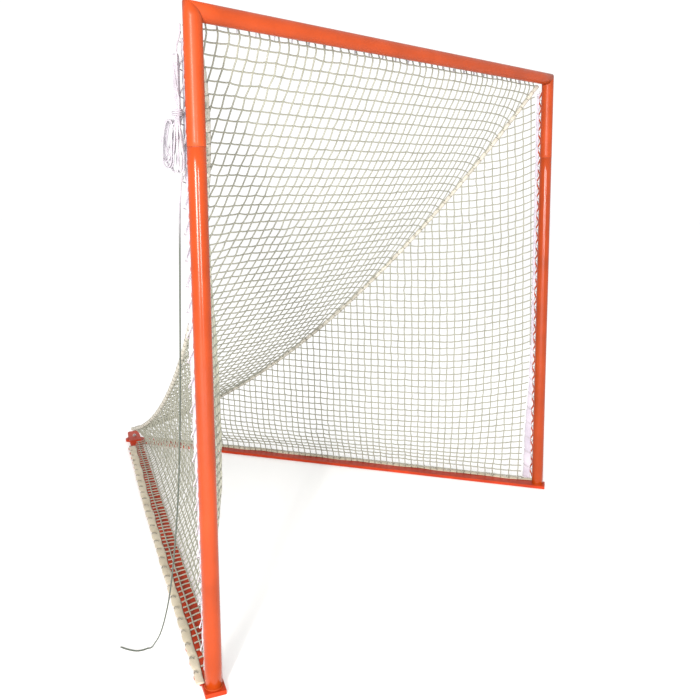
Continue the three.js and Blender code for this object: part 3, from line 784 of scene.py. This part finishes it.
def seam_point(side, s):
    """A point on a seam, s from 0 at the top corner to 1 at the apex."""
    s = np.asarray(s, dtype=float)
    point = np.stack([
        side * POST_X * (1 - s),
        GOAL_Y + SEAM_START[0] + (SEAM_END[0] - SEAM_START[0]) * s,
        SEAM_START[1] + (SEAM_END[1] - SEAM_START[1]) * s - SEAM_SAG * arch(s, SEAM_SAG_POWER),
    ], -1)
    return point + SEAM_IN * arch(s, SEAM_IN_POWER)[..., None] * inward(side)


seam_share = np.linspace(0, 1, 4001)
seam_middle = seam_point(1, seam_share) * (0, 1, 1)
panel_length = np.r_[0, np.cumsum(np.linalg.norm(np.diff(seam_middle, axis=0), axis=1))]
half_width = seam_point(1, seam_share)[:, 0]


def top_place(u, v):
    """Top panel: u cells across from the middle, v rows down from the crossbar. Also how far inside."""
    x = u * TOP_CELL
    run = v * TOP_CELL
    s = np.interp(np.clip(run, 0, None), panel_length, seam_share)
    for _ in range(4):  # rows bend down beside the seams, on the left only lower down
        half = np.interp(s, seam_share, half_width)
        right = ROW_BEND * np.exp(-np.clip(half - x, 0, 9) / 0.07) * np.clip(run / 0.1, 0, 1)
        left = ROW_BEND * np.exp(-np.clip(half + x, 0, 9) / 0.10) * np.clip((run - 0.45) / 0.3, 0, 1)
        s = np.interp(run + (right + left), panel_length, seam_share)
    half = np.interp(s, seam_share, half_width)
    point = seam_point(1, s)
    point[..., 0] = x
    start = np.clip(1 - s / 0.03, 0, 1)
    point[..., 1] += 0.006 * start
    point[..., 2] -= 0.012 * start
    loose = np.clip(-run, 0, 0.03)  # the stubs that run up to the crossbar's tape
    point[..., 1] += 0.2 * loose
    point[..., 2] += 0.8 * loose
    point[..., 2] -= TOP_SAG * (1 - (x / np.maximum(half, 1e-6)) ** 2) * np.clip(s / 0.1, 0, 1)
    inside = np.minimum(np.minimum(half - np.abs(x), panel_length[-1] - TIP - run), run + STUB)
    return point, inside


APRON = 0.055  # of the side panel above the hem; on the left it lies almost flat over the bar
APRON_RISE = {-1: 0.24, 1: 3.0}
APRON_GAP = 0.002  # from the hem tape's inner edge to the panel
APRON_Z = 0.0165
APRON_LEAN = {-1: 0.5, 1: 0.0}  # of the left columns to the front, over the bar
BELLY = 0.165  # of the side panels into the goal
BELLY_RISE = 6
FREE_FROM = 0.07  # back from the post, where the panel starts to hang free
FREE_OVER = 0.35
ROW_DROP = 0.085
COLUMN_SHIFT = 0.075
BAR_SHARE = 0.965  # of the base bar that carries the side panel


def apron(side, a, reach):
    """The panel's lowest part, a along the base and `reach` up from the hem."""
    base = base_member(side)
    out = BASE_TAPE_INNER(a * BAR_RUN) - APRON_GAP
    rise = math.hypot(1, APRON_RISE[side])
    return at(base, a * BAR_RUN, out - reach / rise, APRON_Z + reach * APRON_RISE[side] / rise)


def smooth_step(x):
    x = np.clip(x, 0, 1)
    return x * x * (3 - 2 * x)


def side_surface(side, a, v):
    """The side panel above its apron: a along the base, v from 0 up to 1 at the seam."""
    low = apron(side, a, APRON)
    s = a[..., None]
    top = seam_point(side, a) - SEAM_IN * arch(s, SEAM_IN_POWER) * inward(side)
    v = v[..., None]
    share = (1 - (1 - v) ** BELLY_RISE) * (1 - (1 - SEAM_IN / BELLY) * v ** 2)
    free = smooth_step((s * BAR_RUN - FREE_FROM) / FREE_OVER)
    belly = (BELLY - APRON * (1 - v)) * share * free + SEAM_IN * v ** 6 * (1 - free)
    return low * (1 - v) + top * v + belly * arch(s, SEAM_IN_POWER) * inward(side)


base_share = np.linspace(0, 1, 601)
column_height = {
    side: np.linalg.norm(seam_point(side, base_share) - side_surface(side, base_share, 0 * base_share),
                         axis=1)
    for side in (-1, 1)
}


def side_place(side):
    """Side panel: u columns back from the post, v rows up from the base. Also how far inside."""
    def place(u, v):
        run = u * SIDE_CELL
        height = v * SIDE_CELL
        above = height - APRON
        drop = ROW_DROP * (1 - np.exp(-run / 0.15)) * (1 - np.exp(-np.clip(above, 0, 9) / 0.2))
        up = above - drop
        a = run / BAR_RUN
        lean = APRON_LEAN[side] * np.clip((run - 0.4) / 0.4, 0, 1)
        shift = COLUMN_SHIFT * np.exp(-np.clip(up, 0, 9) / 0.35) * (1 - np.exp(-run / 0.15)) * (1 - a)
        a = a + (shift + lean * np.clip(APRON - height, 0, APRON)) / BAR_RUN
        tall = np.interp(a, base_share, column_height[side])
        a = np.clip(a, 0, 1)
        risen = side_surface(side, a, np.clip(up / np.maximum(tall, 1e-6), 0, 1))
        flat = apron(side, a, np.clip(height, 0, APRON))
        point = np.where((height < APRON)[..., None], flat, risen)
        behind = point[..., 1] - GOAL_Y - (POST_TAPE_OUTER[side](point[..., 2]) - 0.003)
        inside = np.minimum(tall - up, height + 0.0005)
        inside = np.minimum(inside, np.minimum(behind, (BAR_SHARE - a) * BAR_RUN))
        return point, inside
    return place


class Slack:
    """Smooth random displacement of a lattice, one vector for each crossing."""

    def __init__(self, size, amount):
        self.field = rng.normal(0, amount, (size, size, 3))
        self.half = size // 2

    def __call__(self, u, v):
        i = np.clip(np.floor(u).astype(int) + self.half, 0, 2 * self.half - 2)
        j = np.clip(np.floor(v).astype(int) + self.half, 0, 2 * self.half - 2)
        fu = (u - np.floor(u))[..., None]
        fv = (v - np.floor(v))[..., None]
        f = self.field
        return ((f[i, j] * (1 - fu) + f[i + 1, j] * fu) * (1 - fv)
                + (f[i, j + 1] * (1 - fu) + f[i + 1, j + 1] * fu) * fv)


def crossing(point, inside, i):
    """Where a polyline crosses the panel's edge between its points i and i + 1."""
    share = inside[i] / (inside[i] - inside[i + 1])
    return point[i] + share * (point[i + 1] - point[i])


def runs_inside(point, inside):
    """The stretches of a polyline that lie inside its panel, ending on the panel's edge."""
    keep = inside > 0
    edges = np.flatnonzero(np.diff(keep.astype(int)))
    starts = [0] if keep[0] else []
    starts += [e for e in edges if not keep[e]]
    runs = []
    for start in starts:
        ends = [e for e in edges if keep[e] and e >= start]
        stop = ends[0] if ends else len(point) - 2
        run = point[start + (0 if keep[start] else 1):stop + 1]
        if not keep[start]:
            run = np.vstack([crossing(point, inside, start), run])
        if ends:
            run = np.vstack([run, crossing(point, inside, stop)])
        if len(run) > 2:
            runs.append(run)
    return runs


def strands(place, lines, fixed_is_row, span, slack):
    """Polylines of the panel's rows or columns, three steps to a cell, each sagging between its knots."""
    droop = 0.0016 if fixed_is_row else 0.0004
    paths = []
    for line in lines:
        t = np.arange(span[0], span[1] + 1e-6, 1 / 3)
        fixed = np.full_like(t, float(line))
        u, v = (t, fixed) if fixed_is_row else (fixed, t)
        point, inside = place(u, v)
        arc = np.sin(math.pi * (t - np.floor(t)))
        fade = np.clip(inside / EDGE_FADE, 0, 1)[:, None]
        point = point + slack(u, v) * fade
        point[:, 2] -= droop * arc * fade[:, 0]
        paths += runs_inside(point, inside)
    return paths


def knots(place, columns, rows, slack):
    """A small bead at each crossing, a little taller than it is wide."""
    u, v = (x.ravel().astype(float) for x in np.meshgrid(columns, rows, indexing="ij"))
    point, inside = place(u, v)
    point = point + slack(u, v) * np.clip(inside / EDGE_FADE, 0, 1)[:, None]
    point = point[inside > 0.008]
    ball = np.array([(1, 0, 0), (0, 1, 0), (-1, 0, 0), (0, -1, 0), (0, 0, 1.25), (0, 0, -1.25)])
    verts = (point[:, None, :] + KNOT_R * ball[None, :, :]).reshape(-1, 3)
    faces = [(0, 1, 4), (1, 2, 4), (2, 3, 4), (3, 0, 4), (1, 0, 5), (2, 1, 5), (3, 2, 5), (0, 3, 5)]
    indices = (np.array(faces)[None, :, :] + 6 * np.arange(len(point))[:, None, None]).reshape(-1, 3)
    return verts, indices.tolist(), np.zeros((len(verts), 2))


def net_panel(name, place, columns, rows, span_u, span_v, replaced):
    """One knotted panel: its rows, its columns and its knots, in one mesh."""
    slack = Slack(200, NET_SLACK)
    across = strands(place, rows, True, span_u, slack)
    down = strands(place, columns, False, span_v, slack)
    parts = [
        tube_mesh(across, TWINE_R, TWINE_SIDES),
        tube_mesh(down, TWINE_R, TWINE_SIDES),
        knots(place, columns, rows, slack),
    ]
    verts, faces, uvs, count = [], [], [], 0
    for v, f, uv in parts:
        verts.append(v)
        faces.extend([[i + count for i in face] for face in f])
        uvs.append(uv)
        count += len(v)
    piece = new_object(name, np.concatenate(verts), faces, np.concatenate(uvs))
    return finish_piece(piece, twine, "net_twine", replaced)


net_panel("top_net", top_place, range(-24, 25), range(0, 75), (-25, 25), (-1, 76), "top_net_panel")
for label, side in SIDES:
    net_panel(f"{label}_net", side_place(side), range(1, 68), np.arange(0.5, 60), (0, 69), (0, 60),
              f"{label}_net_panel")


# Seam ropes, pinched where each row is tied

ROPE_R = 0.0072
ROPE_PUFF = 0.0022
TIE_R = 0.0016
TIE_OUT = 0.0084  # from the rope's axis to the tie's


def tie_loop(path, i):
    """A turn of cord round the rope at point i of its path."""
    way = path[i + 1] - path[i - 1]
    way /= np.linalg.norm(way)
    a = np.cross(way, (0, 0, 1))
    a /= np.linalg.norm(a)
    b = np.cross(way, a)
    turn = np.linspace(0.2, 2 * math.pi + 0.6, 15)[:, None]
    return path[i] + TIE_OUT * (np.cos(turn) * a + np.sin(turn) * b) + way * 0.0007 * turn


def seam_rope(label, side):
    """The rope of one seam, thicker between its ties and near the apex, and the ties."""
    s = np.linspace(0.004, 0.985, 700)
    path = seam_point(side, s)
    run = np.interp(s, seam_share, panel_length)
    ties = np.abs(np.sin(math.pi * run / TOP_CELL))
    radius = ROPE_R + ROPE_PUFF * ties ** 0.6 + 0.001 * np.clip((s - 0.85) / 0.15, 0, 1)
    rope = tubes(f"{label}_seam", [path], radius, 12)
    finish_piece(rope, beige_rope, "seam_rope", f"{label}_seam_rope")
    places = [int(np.searchsorted(run, k * TOP_CELL)) for k in range(1, int(run[-1] / TOP_CELL))]
    loops = [tie_loop(path, i) for i in places if 2 <= i <= len(path) - 3]
    finish_piece(tubes(f"{label}_seam_ties", loops, TIE_R, 6), grey_cord, "lacing_cord")


for label, side in SIDES:
    seam_rope(label, side)


# Apex hardware and hidden sleeves keep their solids

def zinc_plate():
    material, tree, shader = node_material("zinc_plate")
    shader.inputs["Metallic"].default_value = 1.0
    tree.links.new(ramp(tree, noise(tree, 60.0), [(0.3, grey(0.42)), (0.7, grey(0.62))]),
                   shader.inputs["Base Color"])
    tree.links.new(ramp(tree, noise(tree, 200.0), [(0.3, grey(0.28)), (0.7, grey(0.48))]),
                   shader.inputs["Roughness"])
    return material


zinc = zinc_plate()
for name in ("apex_bolt", "apex_nut", "left_joint_sleeve", "right_joint_sleeve"):
    nodes[name].data.materials.clear()
    nodes[name].data.materials.append(zinc)


# Floor, world and lights

def stage_material():
    material, tree, shader = node_material("studio_white")
    tree.links.new(ramp(tree, noise(tree, 0.8), [(0.3, grey(0.935)), (0.7, grey(0.95))]),
                   shader.inputs["Base Color"])
    shader.inputs["Roughness"].default_value = 0.8
    return material


def floor():
    """A wide white disc just below the feet."""
    sides = 64
    rim = 30.0
    turns = [2 * math.pi * k / sides for k in range(sides)]
    verts = [(rim * math.cos(turn), rim * math.sin(turn), -0.0005) for turn in turns]
    piece = new_object("studio_floor", verts, [tuple(range(sides))])
    piece.data.materials.append(stage_material())


def area_light(name, place, target, size_x, size_y, power, colour=(1, 1, 1)):
    data = bpy.data.lights.new(name, "AREA")
    data.shape = "RECTANGLE"
    data.size = size_x
    data.size_y = size_y
    data.energy = power
    data.color = colour
    light = bpy.data.objects.new(name, data)
    light.location = place
    light.rotation_euler = (Vector(target) - Vector(place)).to_track_quat("-Z", "Y").to_euler()
    bpy.context.scene.collection.objects.link(light)


def white_world(strength):
    world = bpy.data.worlds.new("studio")
    world.use_nodes = True
    background = world.node_tree.nodes["Background"]
    background.inputs["Color"].default_value = (1, 1, 1, 1)
    background.inputs["Strength"].default_value = strength
    bpy.context.scene.world = world


floor()
white_world(1.08)
area_light("key", (-5.27, -3.49, 2.3), (-0.6, -0.7, 0.9), 1.2, 2.0, 330, (1, 0.96, 0.90))
area_light("left_streak", (-4.28, -3.19, 1.2), (-0.94, -1.0, 1.2), 0.10, 0.9, 110)
area_light("right_streak", (-2.57, -4.55, 1.2), (0.94, -1.0, 1.2), 0.12, 1.2, 100)
